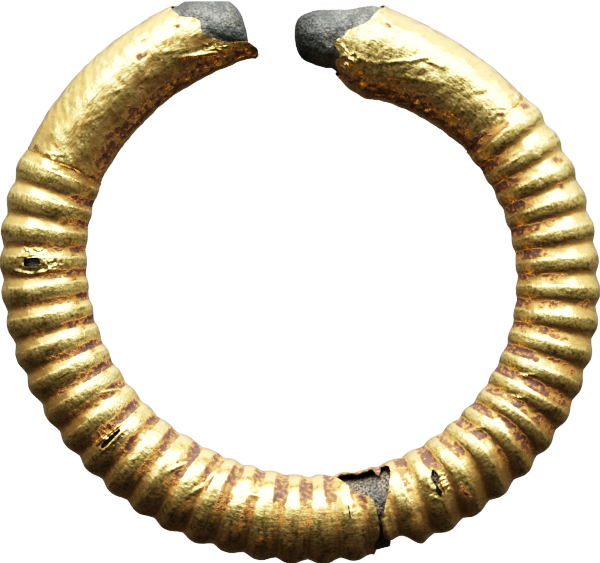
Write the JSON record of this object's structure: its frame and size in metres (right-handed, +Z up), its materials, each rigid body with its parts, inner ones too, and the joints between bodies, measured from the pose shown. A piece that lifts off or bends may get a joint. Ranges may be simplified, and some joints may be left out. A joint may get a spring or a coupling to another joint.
{
  "type": "penannular earring",
  "caption": "Ancient open hoop earring: ribbed gold foil and plain foil sleeves over a dark bronze core, torn at the ends and low on the hoop.",
  "frame": {"origin": "centre of the bounding box, at the lowest point, where the hoop lies on a surface", "axes": "+Z up, across the flat of the hoop, +Y from the centre to the opening, +X to the knobbed end"},
  "size_m": [0.03, 0.0281, 0.0047],
  "materials": {
    "corroded_bronze": "corroded cast bronze, dull grey to near black, pitted, with a faint green tint",
    "gold_foil_ribbed": "thin beaten gold foil crimped into ribs, satin, with red-brown deposits in the grooves",
    "gold_foil_plain": "thin beaten gold foil, satin, finely scratched and creased, torn at its end"
  },
  "bodies": {
    "root": {"bronze_core": "corroded_bronze", "ribbed_foil_sheath": "gold_foil_ribbed", "plain_foil_sleeve_left": "gold_foil_plain", "plain_foil_sleeve_right": "gold_foil_plain"}
  },
  "joints": []
}
